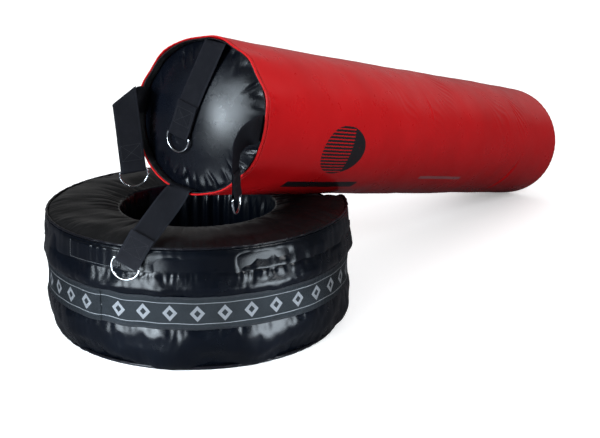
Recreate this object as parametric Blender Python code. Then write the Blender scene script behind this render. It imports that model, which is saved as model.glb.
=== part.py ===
"""Heavy punch bag with a red sleeve, resting with its strapped end on a padded black floor ring.

Metres, +Z up, floor at z = 0. The bag lies up the ring's rim, nose over the ring and foot on the floor.
Every point is first laid out from the ring's centre, then moved so that the whole object's plan is centred.
"""

from math import cos, pi, radians, sin, sqrt

import bmesh
import bpy
from mathutils import Matrix, Vector

# ---- where the ring's centre stands ----
RING_CENTRE = Vector((-0.3606, -0.4295, 0.0))

# ---- driving dimensions of the ring ----
RING_SIDES = 48
SKIN = 0.0020            # vinyl skin of the ring
GAP = 0.0003             # clearance between touching pieces
RING_TOP = 0.3036        # crown of the top panel
COLLAR_T = 0.0022        # collar skin lying over the wall
WELT_R = 0.0030          # sewn welts at the top and bottom seams
TAPE_T = 0.0016          # woven belt tape
TAPE_START = 230.0       # where the belt tape's overlap begins, degrees from +X
TAPE_OVERLAP = 7.0       # degrees
FLAP_FROM, FLAP_TO = 223.0, 247.0

# Outside of the wall from the top seam down to the bottom seam: radius, height.
WALL = [
    (0.3665, 0.2942), (0.3702, 0.2800), (0.3718, 0.2430), (0.3732, 0.2180),
    (0.3690, 0.1880), (0.3672, 0.1500), (0.3690, 0.1085), (0.3730, 0.0860),
    (0.3712, 0.0580), (0.3630, 0.0330), (0.3495, 0.0120),
]
# Hole side, top to bottom, and the crown of the top panel from the hole outwards.
LINING = [(0.1905, 0.2955), (0.1870, 0.2600), (0.1855, 0.1500), (0.1870, 0.0400), (0.1915, 0.0055)]
CROWN = [(0.1945, 0.2985), (0.2050, 0.3018), (0.2800, RING_TOP), (0.3350, 0.3018), (0.3630, 0.2985)]

# ---- driving dimensions of the bag ----
BAG_SIDES = 40
BAG_R = 0.175
BAG_LENGTH = 1.800
BAG_HEADING = 0.5547     # from +Y towards +X, radians
BAG_PITCH = 0.2316       # foot end down, radians
BAG_NOSE_XY = (0.0302, -0.2804)
SLEEVE_T = 0.0030
FOOT_ROUND = 0.020
HEM_DEPTH = 0.010
CAP_EDGE = 0.028         # how far the black cap's edge sits inside the mouth
CAP_RISE = 0.040         # dome height of the cap
CAP_R = 0.1715
DENT_SOFT = 0.012        # how softly the ring gives way under the bag
BAG_CLEAR = 0.0020

# ---- webbing and steel D-rings ----
WEB = 0.057
WEB_T = 0.0025
WIRE_R = 0.0025
DEE_HALF = 0.0320        # half width of a D-ring, to the middle of its wire
DEE_LEG = 0.0060
BAR_CLEAR = 0.0004
SEWN_R = 0.1650          # where the webbing is sewn inside the mouth
FOLD_BACK = 0.075        # length of webbing sewn back on itself

SP, CP = sin(BAG_PITCH), cos(BAG_PITCH)
SY, CY = sin(BAG_HEADING), cos(BAG_HEADING)
AXIS = Vector((SY * CP, CY * CP, -SP))      # from nose to foot
SIDE = Vector((CY, -SY, 0.0))               # to the right, facing the nose
UP = Vector((SY * SP, CY * SP, CP))
NOSE_Z = SP * (BAG_LENGTH - FOOT_ROUND) + CP * (BAG_R - FOOT_ROUND) + FOOT_ROUND
NOSE = Vector((BAG_NOSE_XY[0], BAG_NOSE_XY[1], NOSE_Z))


def clear_scene():
    for obj in list(bpy.data.objects):
        bpy.data.objects.remove(obj, do_unlink=True)


def material(name, colour, rough, metal=0.0):
    mat = bpy.data.materials.new(name)
    mat.use_nodes = True
    shader = mat.node_tree.nodes["Principled BSDF"]
    shader.inputs["Base Color"].default_value = (*colour, 1.0)
    shader.inputs["Roughness"].default_value = rough
    shader.inputs["Metallic"].default_value = metal
    return mat


def finish(name, mesh, mat, origin, smooth=True):
    """Makes the object, with its origin at the given point (laid out from the ring's centre)."""
    origin = Vector(origin)
    for vertex in mesh.vertices:
        vertex.co = vertex.co - origin
    for face in mesh.polygons:
        face.use_smooth = smooth
    obj = bpy.data.objects.new(name, mesh)
    obj.location = RING_CENTRE + origin
    mesh.materials.append(mat)
    bpy.context.scene.collection.objects.link(obj)
    return obj


def mesh_from(name, bm):
    bmesh.ops.recalc_face_normals(bm, faces=bm.faces)
    mesh = bpy.data.meshes.new(name)
    bm.to_mesh(mesh)
    bm.free()
    return mesh


def split_quad(bm, here, after, i, j, profile):
    """Two triangles, cut the same way in every layer, so that bent layers stay clear of each other."""
    if profile[i][0] - profile[i][1] < profile[j][0] - profile[j][1]:
        bm.faces.new((here[i], here[j], after[j]))
        bm.faces.new((here[i], after[j], after[i]))
    else:
        bm.faces.new((here[i], here[j], after[i]))
        bm.faces.new((here[j], after[j], after[i]))


def turn(name, profile, sides, frame, mat, origin=(0, 0, 0), warp=None):
    """Turns a closed profile of (radius, height) points once round the frame's own Z axis."""
    bm = bmesh.new()
    rings = []
    for k in range(sides):
        a = 2 * pi * k / sides
        rings.append([bm.verts.new(frame @ Vector((r * cos(a), r * sin(a), z))) if r > 0 else None
                      for r, z in profile])
    poles = {i: bm.verts.new(frame @ Vector((0, 0, z))) for i, (r, z) in enumerate(profile) if r <= 0}
    count = len(profile)
    for k in range(sides):
        here, after = rings[k], rings[(k + 1) % sides]
        for i in range(count):
            j = (i + 1) % count
            if i in poles and j in poles:
                continue
            if warp:
                split_quad(bm, here, after, i, j, profile)
                continue
            corners = [here[i] or poles[i], here[j] or poles[j]]
            if j not in poles:
                corners.append(after[j])
            if i not in poles:
                corners.append(after[i])
            bm.faces.new(corners)
    if warp:
        for vertex in bm.verts:
            vertex.co = warp(vertex.co)
    return finish(name, mesh_from(name, bm), mat, origin)


def offset(points, distance):
    """Moves an open profile sideways; a positive distance is to the right of its direction,
    so it goes inwards on a profile that runs down the outside."""
    moved = []
    for i, (r, z) in enumerate(points):
        before, after = points[max(i - 1, 0)], points[min(i + 1, len(points) - 1)]
        along = Vector((after[0] - before[0], after[1] - before[1])).normalized()
        moved.append((r + along.y * distance, z - along.x * distance))
    return moved


def underside(x, y):
    """Height of the bag's underside over this point of the floor."""
    dx, dy = x - NOSE.x, y - NOSE.y
    ahead, across = dx * SY + dy * CY, dx * CY - dy * SY
    if abs(across) >= BAG_R or ahead < 0:
        return 9.0
    return NOSE.z - ahead * SP / CP - sqrt(BAG_R ** 2 - across ** 2) / CP


def pressed(point):
    """The ring gives way under the bag: most at its top face, not at all below a third of its height."""
    over = RING_TOP + BAG_CLEAR - underside(point.x, point.y)
    depth = 0.5 * (over + sqrt(over * over + DENT_SOFT ** 2))
    t = min(max((point.z - 0.110) / (0.296 - 0.110), 0.0), 1.0)
    return Vector((point.x, point.y, point.z - depth * t * t * (3 - 2 * t)))


def build_ring():
    flat = Matrix.Identity(4)
    vinyl = material("ring_vinyl", (0.012, 0.015, 0.022), 0.28)
    matt = material("ring_top_vinyl", (0.020, 0.020, 0.022), 0.50)
    base = material("ring_base_vinyl", (0.015, 0.015, 0.016), 0.55)
    piping = material("ring_piping", (0.010, 0.010, 0.012), 0.35)
    stuffing = material("ring_stuffing", (0.35, 0.34, 0.32), 0.95)
    tape = material("ring_tape", (0.045, 0.055, 0.065), 0.80)

    inside_wall = offset(WALL, SKIN + 0.0004)
    inside_hole = offset(LINING, -(SKIN + 0.0004))
    inside_crown = [(r, z - SKIN - 0.0004) for r, z in CROWN]
    filling = ([(0.1935, 0.2920), (0.1975, 0.2966)] + inside_crown[1:4] + [(0.3616, 0.2961)]
               + inside_wall + [(0.3430, 0.0100), (0.3395, 0.0024), (0.1965, 0.0024)]
               + inside_hole[::-1][1:-1])
    turn("ring_filling", filling, RING_SIDES, flat, stuffing, warp=pressed)
    turn("ring_top_panel", CROWN + [(r, z - SKIN) for r, z in CROWN[::-1]], RING_SIDES, flat, matt,
         warp=pressed)
    turn("ring_wall", WALL + offset(WALL, SKIN)[::-1], RING_SIDES, flat, vinyl, warp=pressed)
    upper = WALL[:3]
    turn("ring_collar", offset(upper, -GAP - COLLAR_T) + offset(upper, -GAP)[::-1], RING_SIDES, flat,
         vinyl, warp=pressed)
    turn("ring_hole_lining", LINING + offset(LINING, -SKIN)[::-1], RING_SIDES, flat, vinyl, warp=pressed)
    turn("ring_base_panel", [(0.1960, 0.0), (0.3420, 0.0), (0.3420, SKIN), (0.1960, SKIN)], RING_SIDES,
         flat, base)
    for name, radius, height in (("ring_top_welt", 0.3668, 0.2984), ("ring_bottom_welt", 0.3460, 0.0062)):
        cord = [(radius + WELT_R * cos(pi * k / 3), height + WELT_R * sin(pi * k / 3)) for k in range(6)]
        turn(name, cord, RING_SIDES, flat, piping, warp=pressed)
    build_tape(tape)
    build_flap(vinyl)


def build_tape(mat):
    """One strip round the wall's waist. Its end laps over its beginning."""
    waist = [(0.3690, 0.1870), (0.3672, 0.1500), (0.3690, 0.1095)]
    step = 360.0 / RING_SIDES
    first = round(TAPE_START / step) * step
    turns = RING_SIDES + 1 + round(TAPE_OVERLAP / step)
    bm = bmesh.new()
    rows = []
    for k in range(turns):
        a = radians(first + k * step)
        left = turns - 1 - k                       # steps to the free end
        lap = TAPE_T + 0.0006 if left <= 3 else (TAPE_T + 0.0006) * max(0.0, (6 - left) / 3)
        inner = [(r + GAP + lap, z) for r, z in waist]
        outer = [(r + TAPE_T, z) for r, z in inner]
        rows.append([bm.verts.new(pressed(Vector((r * cos(a), r * sin(a), z))))
                     for r, z in outer + inner[::-1]])
    for here, after in zip(rows, rows[1:]):
        for i in range(len(here)):
            j = (i + 1) % len(here)
            bm.faces.new((here[i], here[j], after[j], after[i]))
    bm.faces.new(rows[0])
    bm.faces.new(rows[-1][::-1])
    finish("ring_belt_tape", mesh_from("ring_belt_tape", bm), mat, (0, 0, 0))


def build_flap(mat):
    """Sewn patch over the filling opening, lying on the collar."""
    face = [(r, z) for r, z in offset(WALL[:3], -2 * GAP - COLLAR_T)]
    heights = [face[0][1] * 0.7 + face[1][1] * 0.3, face[1][1], face[1][1] * 0.15 + face[2][1] * 0.85]
    radii = [face[0][0] * 0.7 + face[1][0] * 0.3, face[1][0], face[1][0] * 0.15 + face[2][0] * 0.85]
    step = 360.0 / RING_SIDES
    angles = [FLAP_FROM] + [k * step for k in range(RING_SIDES) if FLAP_FROM + 1 < k * step < FLAP_TO - 1]
    bm = bmesh.new()
    rows = []
    for a in [radians(v) for v in angles + [FLAP_TO]]:
        inner = [(r + 0.0006, z) for r, z in zip(radii, heights)]
        outer = [(r + 0.0018, z) for r, z in inner]
        rows.append([bm.verts.new(Vector((r * cos(a), r * sin(a), z))) for r, z in outer + inner[::-1]])
    for here, after in zip(rows, rows[1:]):
        for i in range(len(here)):
            j = (i + 1) % len(here)
            bm.faces.new((here[i], here[j], after[j], after[i]))
    bm.faces.new(rows[0])
    bm.faces.new(rows[-1][::-1])
    finish("ring_closure_flap", mesh_from("ring_closure_flap", bm), mat, (0, 0, 0))


def cap_height(radius):
    """How far behind the rim plane the cap's face lies at this radius."""
    return CAP_EDGE - CAP_RISE * (1 - (radius / CAP_R) ** 2)


def build_bag():
    frame = Matrix.Translation(NOSE) @ Matrix((SIDE, -UP, AXIS)).transposed().to_4x4()
    red = material("bag_red_vinyl", (0.55, 0.012, 0.014), 0.30)
    hem = material("bag_hem_vinyl", (0.70, 0.020, 0.020), 0.35)
    black = material("bag_cap_vinyl", (0.010, 0.011, 0.014), 0.25)
    facing = material("bag_facing_vinyl", (0.030, 0.030, 0.034), 0.45)
    stuffing = material("bag_stuffing", (0.40, 0.38, 0.35), 0.95)
    length, rim = BAG_LENGTH, BAG_R
    rounding = [(rim - FOOT_ROUND * (1 - cos(a)), length - FOOT_ROUND * (1 - sin(a)))
                for a in (0, pi / 8, pi / 4, 3 * pi / 8)]
    start = HEM_DEPTH + 0.0005
    outer = [(rim, start)] + rounding
    inner = [(rim - SLEEVE_T, z) for r, z in outer[:2]] + [
        (rim - FOOT_ROUND + (FOOT_ROUND - SLEEVE_T) * cos(a),
         length - FOOT_ROUND + (FOOT_ROUND - SLEEVE_T) * sin(a)) for a in (pi / 8, pi / 4, 3 * pi / 8)]
    turn("bag_sleeve", outer + inner[::-1], BAG_SIDES, frame, red, NOSE)
    turn("bag_hem", [(rim - 0.0032, 0.0012), (rim - 0.0018, 0.0), (rim - 0.0006, 0.0),
                     (rim + 0.0006, 0.0014), (rim + 0.0006, HEM_DEPTH), (rim - 0.0032, HEM_DEPTH)],
         BAG_SIDES, frame, hem, NOSE)
    turn("bag_mouth_facing", [(rim - 0.0035, 0.0020), (rim - 0.0035, 0.0265), (rim - 0.0052, 0.0265),
                              (rim - 0.0052, 0.0020)], BAG_SIDES, frame, facing, NOSE)
    radii = [0.0, 0.040, 0.080, 0.115, 0.145, CAP_R]
    face = [(r, cap_height(r)) for r in radii]
    turn("bag_top_cap", face + [(r, z + 0.0030) for r, z in face[::-1]], BAG_SIDES, frame, black, NOSE)
    back = [(r, z + 0.0030 + GAP) for r, z in face[:-1]] + [(CAP_R - 0.0004, face[-1][1] + 0.0036)]
    side = [(r - 0.0005, z) for r, z in inner[1:2]] + [(r - 0.0004, z - 0.0004) for r, z in inner[2:]]
    turn("bag_filling", back + side + [(0.120, length - 0.0040), (0.0, length - 0.0040)], BAG_SIDES,
         frame, stuffing, NOSE)
    edge = rounding[-1][0] - 0.0030
    turn("bag_foot_panel", [(0.0, length - 0.0036), (edge, length - 0.0036), (edge + 0.0006, length - 0.0018),
                            (edge - 0.004, length - 0.0003), (0.0, length - 0.0003)],
         BAG_SIDES, frame, red, NOSE)


def bag_point(radius, angle_deg, depth):
    """A point by its radius and angle (from the top, clockwise seen from the nose) and depth behind the rim."""
    a = radians(angle_deg)
    return NOSE + (SIDE * sin(a) + UP * cos(a)) * radius + AXIS * depth


def rim_tangent(angle_deg):
    a = radians(angle_deg)
    return SIDE * cos(a) - UP * sin(a)


def strip(name, sections, mat, origin, thickness=WEB_T):
    """Flat webbing through sections of (left edge, right edge, normal)."""
    bm = bmesh.new()
    rows = []
    for left, right, normal in sections:
        half = normal.normalized() * (thickness / 2)
        rows.append([bm.verts.new(p) for p in (left + half, right + half, right - half, left - half)])
    for here, after in zip(rows, rows[1:]):
        for i in range(4):
            j = (i + 1) % 4
            bm.faces.new((here[i], here[j], after[j], after[i]))
    bm.faces.new(rows[0])
    bm.faces.new(rows[-1][::-1])
    return finish(name, mesh_from(name, bm), mat, origin)


def sections_along(points, widths, facing):
    """Sections of webbing along a path. widths are directions across it; facing tells which side is out."""
    result = []
    for i, point in enumerate(points):
        tangent = (points[min(i + 1, len(points) - 1)] - points[max(i - 1, 0)]).normalized()
        width = (widths[i] - tangent * widths[i].dot(tangent)).normalized()
        normal = tangent.cross(width).normalized()
        if normal.dot(facing) < 0:
            normal = -normal
        result.append((point - width * (WEB / 2), point + width * (WEB / 2), normal))
    return result


def loop_end(last, along, across, normal, side, back=FOLD_BACK):
    """The webbing's end round a D-ring's bar and sewn back. Gives sections and the bar's centre.

    last is where the loop's flare begins. side is +1 to fold back on the outer face, -1 on the inner one."""
    layer = WEB_T + BAR_CLEAR
    reach = WIRE_R + BAR_CLEAR + WEB_T / 2
    flare = 0.020
    middle = side * layer / 2
    path = [(0.008, -side * 0.0004), (0.014, -side * 0.0017), (0.0175, -side * 0.0024)]
    path += [(flare + reach * cos(a), middle - side * reach * sin(a))
             for a in [radians(v) for v in (90, 60, 30, 0, -30, -60, -90)]]
    path += [(0.0175, middle + side * 0.0039), (0.014, middle + side * 0.0031),
             (0.008, side * (layer + 0.0004)), (0.0, side * layer), (flare - back, side * layer)]
    sections = []
    for i, (u, v) in enumerate(path):
        before, after = path[max(i - 1, 0)], path[min(i + 1, len(path) - 1)]
        du, dv = after[0] - before[0], after[1] - before[1]
        if i == 0:
            du, dv = 1.0, 0.0
        size = sqrt(du * du + dv * dv)
        centre = last + along * u + normal * v
        out = (normal * (du / size) - along * (dv / size))
        sections.append((centre - across * (WEB / 2), centre + across * (WEB / 2), out))
    return sections, last + along * flare + normal * middle


def dee(name, mat, bar, across, down):
    """Welded steel D-ring: a straight bar in the webbing's loop and a round bow below it."""
    a, leg = DEE_HALF, DEE_LEG
    path = [(-a + 0.003, 0.0), (a - 0.003, 0.0), (a - 0.0008, 0.0012), (a, 0.0035)]
    path += [(a * cos(pi * k / 12), leg + a * sin(pi * k / 12)) for k in range(13)]
    path += [(-a, 0.0035), (-a + 0.0008, 0.0012)]
    curve = bpy.data.curves.new(name, "CURVE")
    curve.dimensions = "3D"
    curve.bevel_depth = WIRE_R
    curve.bevel_resolution = 1
    line = curve.splines.new("POLY")
    line.points.add(len(path) - 1)
    for point, (u, v) in zip(line.points, path):
        point.co = (*(across * u + down * v), 1.0)
    line.use_cyclic_u = True
    obj = bpy.data.objects.new(name, curve)
    obj.location = RING_CENTRE + bar
    curve.materials.append(mat)
    bpy.context.scene.collection.objects.link(obj)


def plumb(across):
    """Straight down, square to a bar that may not be level."""
    down = Vector((0, 0, -1))
    return (down - across * down.dot(across)).normalized()


def build_top_strap(web, steel):
    """Sewn in at the top of the mouth, it lies down over the cap."""
    angle, lead = 6.0, radians(14.76)
    along = -SIDE * sin(lead) - UP * cos(lead)
    across = SIDE * cos(lead) - UP * sin(lead)
    root = NOSE + SIDE * 0.0165 + UP * 0.1570
    rise = CAP_RISE / CAP_R ** 2
    lift = WEB_T / 2 + WEB_T + 0.0022
    base = [(root - NOSE).dot(SIDE), (root - NOSE).dot(UP)]
    slope0 = -2 * rise * (along.dot(SIDE) * base[0] + along.dot(UP) * base[1])
    crest0 = CAP_RISE - CAP_EDGE + lift - rise * (base[0] ** 2 + base[1] ** 2)
    start = -0.0030
    touch = sqrt((start - crest0) / rise)

    def height(d):
        """How far in front of the rim plane the webbing's middle is, at this distance from its root."""
        if d < touch:
            return start + (slope0 - 2 * rise * touch) * d
        return crest0 + slope0 * d - rise * d * d

    fixed = [bag_point(SEWN_R, angle, 0.022), bag_point(SEWN_R, angle, 0.009),
             bag_point(SEWN_R - 0.0008, angle, 0.0050), bag_point(SEWN_R - 0.0020, angle, 0.0034),
             bag_point(SEWN_R - 0.0032, angle, 0.0028)]
    turned = [rim_tangent(angle)] * 3 + [rim_tangent(angle) + across, across]
    strip("strap_root_top", sections_along(fixed, turned, -UP), web, fixed[-1])
    distances = [0.0, 0.010, 0.040, 0.080, 0.115, 0.135, 0.155, 0.175, 0.192]
    points = [root + along * d - AXIS * height(d) for d in distances]
    widths = []
    for point in points:
        sideways = (point - NOSE).dot(across)
        widths.append((across + AXIS * (2 * rise * sideways)).normalized())
    body = sections_along(points, widths, -AXIS)
    tangent = (points[-1] - points[-2]).normalized()
    width = (widths[-1] - tangent * widths[-1].dot(tangent)).normalized()
    normal = tangent.cross(width)
    normal = normal if normal.dot(AXIS) < 0 else -normal
    end, bar = loop_end(points[-1], tangent, width, normal, 1)
    strip("strap_top", body + end, web, points[0])
    tilt = radians(5)
    dee("dee_top", steel, bar, width, (tangent * cos(tilt) - normal * sin(tilt)).normalized())


def build_left_strap(web, steel):
    """Comes out over the rim's left side, folds over on a slant and hangs."""
    along = Vector((0.0816, 0.0266, -0.9963)).normalized()
    across = Vector((0.948, 0.309, 0.086))
    across = (across - along * across.dot(along)).normalized()
    out = along.cross(across)
    out = out if out.y < 0 else -out
    head = Vector((-0.1370, -0.2575, 0.6335))
    slant = 0.034
    right, left = head + across * (WEB / 2), head - across * (WEB / 2) + along * slant
    behind = -out * (WEB_T + 0.0007)
    low, high = -94.0, -73.5
    root = [(bag_point(SEWN_R + 0.002, low, d), bag_point(SEWN_R + 0.002, high, d)) for d in (0.022, 0.004)]
    root += [(bag_point(SEWN_R + 0.003, low, -0.010), bag_point(SEWN_R + 0.003, high, -0.010))]
    middle = [(a * (1 - t) + b * t) for t in (0.35, 0.7) for a, b in
              ((root[-1][0], left + behind), (root[-1][1], right + behind))]
    root += [(middle[0], middle[1]), (middle[2], middle[3]), (left + behind, right + behind)]
    sections = []
    for i, (a, b) in enumerate(root):
        before, after = root[max(i - 1, 0)], root[min(i + 1, len(root) - 1)]
        run = (after[0] + after[1] - before[0] - before[1]).normalized()
        normal = run.cross(b - a).normalized()
        if i == len(root) - 1:
            normal = out.copy()
        if normal.dot(out) < 0:
            normal = -normal
        sections.append((a, b, normal))
    strip("strap_root_left", sections, web, root[0][0])
    body = [(left, right, out)]
    for d in (0.042, 0.070, 0.100, 0.130, 0.150, 0.167):
        body.append((head - across * (WEB / 2) + along * d, head + across * (WEB / 2) + along * d, out))
    last = head + along * 0.167
    end, bar = loop_end(last, along, across, out, -1)
    hinge = head + out * (WEB_T / 2 + 0.002) + across * (WEB / 2)
    strip("strap_left", body + end, web, hinge)
    dee("dee_left", steel, bar, across, plumb(across))


def build_front_strap(web, steel):
    """Comes out over the bottom of the rim and falls across the ring's edge onto its collar."""
    angle = -171.0
    tangent = -rim_tangent(angle)
    inside = [bag_point(SEWN_R, angle, 0.022), bag_point(SEWN_R, angle, 0.002),
              bag_point(SEWN_R + 0.0012, angle, -0.0045), bag_point(SEWN_R + 0.0040, angle, -0.0070)]
    strip("strap_root_front", sections_along(inside, [tangent] * 4, -AXIS), web, inside[-1])
    root = bag_point(SEWN_R + 0.0072, angle, -0.0086)
    edge = Vector((-0.1000, -0.3640, 0.3140))
    foot = Vector((-0.1190, -0.3690, 0.2840))
    fall = edge - root
    points = [root, root + fall * 0.12, root + fall * 0.3, root + fall * 0.55, root + fall * 0.8, edge,
              edge * 0.5 + foot * 0.5 + Vector((0, -0.0010, 0.0015)), foot]
    top_width, low_width = Vector((0.784, -0.18, -0.593)), Vector((0.934, -0.104, -0.343))
    widths = [(tangent * 0.7 + top_width * 0.3), (tangent * 0.4 + top_width * 0.6), top_width, top_width,
              top_width * 0.8 + low_width * 0.2, top_width * 0.5 + low_width * 0.5,
              top_width * 0.2 + low_width * 0.8, low_width]
    out = Vector((0.0, -1.0, 0.3))
    body = sections_along(points, widths, out)
    along = (points[-1] - points[-2]).normalized()
    across = (low_width - along * low_width.dot(along)).normalized()
    normal = along.cross(across)
    normal = normal if normal.dot(out) > 0 else -normal
    end, bar = loop_end(foot, along, across, normal, 1)
    strip("strap_front", body + end, web, root)
    dee("dee_front", steel, bar, across, plumb(across))


def build_right_strap(web, steel):
    """Comes out inside the rim's right side, turns down and hangs edge on."""
    angle = 93.0
    upright = -rim_tangent(angle)
    ahead = Vector((-0.220, -0.975, 0.0)).normalized()
    first = [bag_point(SEWN_R, angle, 0.022), bag_point(SEWN_R, angle, 0.006),
             bag_point(SEWN_R - 0.003, angle, -0.006)]
    curve = [Vector(p) for p in ((0.1600, -0.3870, 0.5715), (0.1440, -0.4000, 0.5640),
                                 (0.1280, -0.4050, 0.5480), (0.1180, -0.4060, 0.5230),
                                 (0.1150, -0.4060, 0.4985))]
    widths = [upright] * 3
    mid = Vector((-0.75, -0.66, 0.0))
    for turned in (0.12, 0.35, 0.62, 0.88, 1.0):
        towards = mid * (1 - turned) + ahead * turned
        widths.append(upright * cos(turned * pi / 2) + towards * sin(turned * pi / 2))
    out = Vector((0.9, -0.2, 0.3))
    strip("strap_root_right", sections_along(first + curve, widths, out), web, first[0])
    hinge = curve[-1] + Vector((0, 0, -0.0020))
    down = Vector((0, 0, -1))
    normal = down.cross(ahead)
    points = [hinge + down * d for d in (0.0, 0.020, 0.045)]
    body = sections_along(points, [ahead] * 3, normal)
    end, bar = loop_end(points[-1], down, ahead, normal, -1, 0.055)
    strip("strap_right", body + end, web, hinge)
    dee("dee_right", steel, bar, ahead, down)


clear_scene()
build_ring()
build_bag()
webbing = material("webbing", (0.012, 0.012, 0.016), 0.85)
chrome = material("steel_dee", (0.75, 0.76, 0.78), 0.15, 1.0)
build_top_strap(webbing, chrome)
build_left_strap(webbing, chrome)
build_front_strap(webbing, chrome)
build_right_strap(webbing, chrome)
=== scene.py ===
"""How the heavy bag and its floor ring look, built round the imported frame.

Metres, +Z up. Shapes are laid out from the ring's centre on the floor, as the CAD is, and moved by RING_AT.
A grid of points is an array of rows and columns; round a ring or the bag, the columns go round.
"""

from math import cos, pi, radians, sin, sqrt

import bmesh
import bpy
import numpy as np
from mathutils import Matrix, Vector


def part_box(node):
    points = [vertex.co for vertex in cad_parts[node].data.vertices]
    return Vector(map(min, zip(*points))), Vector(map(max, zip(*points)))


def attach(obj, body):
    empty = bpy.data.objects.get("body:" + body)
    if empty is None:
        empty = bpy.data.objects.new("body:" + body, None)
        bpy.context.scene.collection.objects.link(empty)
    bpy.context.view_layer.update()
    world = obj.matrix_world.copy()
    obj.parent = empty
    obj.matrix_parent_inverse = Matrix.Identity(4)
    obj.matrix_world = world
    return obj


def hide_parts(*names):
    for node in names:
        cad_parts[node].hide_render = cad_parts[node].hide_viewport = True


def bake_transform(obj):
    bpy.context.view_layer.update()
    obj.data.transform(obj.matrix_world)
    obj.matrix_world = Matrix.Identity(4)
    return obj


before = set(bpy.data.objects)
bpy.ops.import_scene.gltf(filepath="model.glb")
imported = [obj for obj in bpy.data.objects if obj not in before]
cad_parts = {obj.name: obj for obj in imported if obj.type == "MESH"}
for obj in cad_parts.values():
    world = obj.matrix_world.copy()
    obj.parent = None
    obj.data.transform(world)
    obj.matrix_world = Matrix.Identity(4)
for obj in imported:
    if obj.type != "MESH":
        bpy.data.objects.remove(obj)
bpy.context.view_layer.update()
scene = bpy.context.scene

# ---- driving dimensions, as in the CAD ----
ring_low, ring_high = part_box("ring_base_panel")
RING_AT = np.array([(ring_low.x + ring_high.x) / 2, (ring_low.y + ring_high.y) / 2, 0.0])
RING_TOP = 0.3036
WALL = [
    (0.3665, 0.2942), (0.3702, 0.2800), (0.3718, 0.2430), (0.3732, 0.2180),
    (0.3690, 0.1880), (0.3672, 0.1500), (0.3690, 0.1085), (0.3730, 0.0860),
    (0.3712, 0.0580), (0.3630, 0.0330), (0.3495, 0.0120),
]
LINING = [(0.1905, 0.2955), (0.1870, 0.2600), (0.1855, 0.1500), (0.1870, 0.0400), (0.1915, 0.0055)]
CROWN = [(0.1945, 0.2985), (0.2050, 0.3018), (0.2800, RING_TOP), (0.3350, 0.3018), (0.3630, 0.2985)]
HEM_Z = 0.2430           # lower edge of the collar
COLLAR_PINCHES = ((-69, 0.0105), (-54, 0.0060), (58, 0.0070), (160, 0.0060))   # degrees, depth
TAPE_LOW, TAPE_HIGH = 0.1095, 0.1870
TAPE_START = 230.0       # degrees from +X
FLAP_FROM, FLAP_TO = 223.0, 247.0

BAG_R = 0.175
BAG_LENGTH = 1.800
BAG_HEADING = 0.5547
BAG_PITCH = 0.2316
FOOT_ROUND = 0.020
CAP_EDGE, CAP_RISE, CAP_R = 0.028, 0.040, 0.1715
CAP_BACK = 0.0306        # the cap's hidden face, behind the rim
CAP_GATHERS = ((pi, 0.9), (1.7, 0.35), (0.4, 0.5), (5.9, 0.4))      # where they are deep: angle, width
MOUTH_SEAM, FOOT_SEAM = 0.0130, 1.7600
CREASE_AT, FOLD_AT = 0.849, 1.482
WEB, WEB_T, WEB_GAP, WIRE_R = 0.057, 0.0025, 0.0004, 0.0025
SEWN_R = 0.1650
SKY_GLOW, SKY_MIRRORED = 0.75, 0.05

BAG_ANGLES = np.arange(360) * 2 * pi / 360
SP, CP = sin(BAG_PITCH), cos(BAG_PITCH)
SY, CY = sin(BAG_HEADING), cos(BAG_HEADING)
AXIS = np.array([SY * CP, CY * CP, -SP])
SIDE = np.array([CY, -SY, 0.0])
UP = np.array([SY * SP, CY * SP, CP])
DOWN = np.array([0.0, 0.0, -1.0])
NOSE = np.array([0.0302, -0.2804, SP * (BAG_LENGTH - FOOT_ROUND) + CP * (BAG_R - FOOT_ROUND) + FOOT_ROUND])


# ---- numbers ----
def unit(v):
    return v / np.linalg.norm(v)


def smooth(x, low, high):
    """0 below low and 1 above high, with a soft step between. low may be the larger."""
    t = np.clip((x - low) / (high - low), 0.0, 1.0)
    return t * t * (3 - 2 * t)


def bump(x, centre, width):
    return np.exp(-((x - centre) / width) ** 2)


def lumps(points, size, seed, count=20):
    """Smooth random lumps in space, about 1 high, this far apart."""
    rng = np.random.default_rng(seed)
    total = np.zeros(points.shape[:-1])
    for _ in range(count):
        way = unit(rng.normal(size=3)) * 2 * pi / (size * rng.uniform(0.7, 1.5))
        total += np.cos(points @ way + rng.uniform(0, 2 * pi))
    return total / sqrt(count / 2)


def ripple(angle, low, high, seed, count=12):
    """Random waves round a circle, about 1 high, with from low to high crests."""
    rng = np.random.default_rng(seed)
    total = np.zeros(np.shape(angle))
    for crests in np.linspace(low, high, count).round():
        total += rng.uniform(0.6, 1.2) * np.cos(crests * angle + rng.uniform(0, 2 * pi))
    return total / sqrt(count / 2)


def along_line(points, step):
    """A smooth line through the points (any number of values each), with a point about every step."""
    points = np.array(points, float)
    padded = np.vstack([2 * points[0] - points[1], points, 2 * points[-1] - points[-2]])
    result = []
    for i in range(len(points) - 1):
        p0, p1, p2, p3 = padded[i:i + 4]
        count = max(1, int(round(np.linalg.norm(p2[:3] - p1[:3]) / step)))
        for t in np.arange(count) / count:
            result.append(0.5 * (2 * p1 + (p2 - p0) * t + (2 * p0 - 5 * p1 + 4 * p2 - p3) * t ** 2
                                 + (3 * p1 - p0 - 3 * p2 + p3) * t ** 3))
    return np.array(result + [points[-1]])


def offset(line, distance):
    """Moves a line of (radius, height) sideways; positive is to the right of its direction."""
    along = np.gradient(line, axis=0)
    along /= np.linalg.norm(along, axis=1)[:, None]
    return line + np.stack([along[:, 1], -along[:, 0]], 1) * distance


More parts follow.
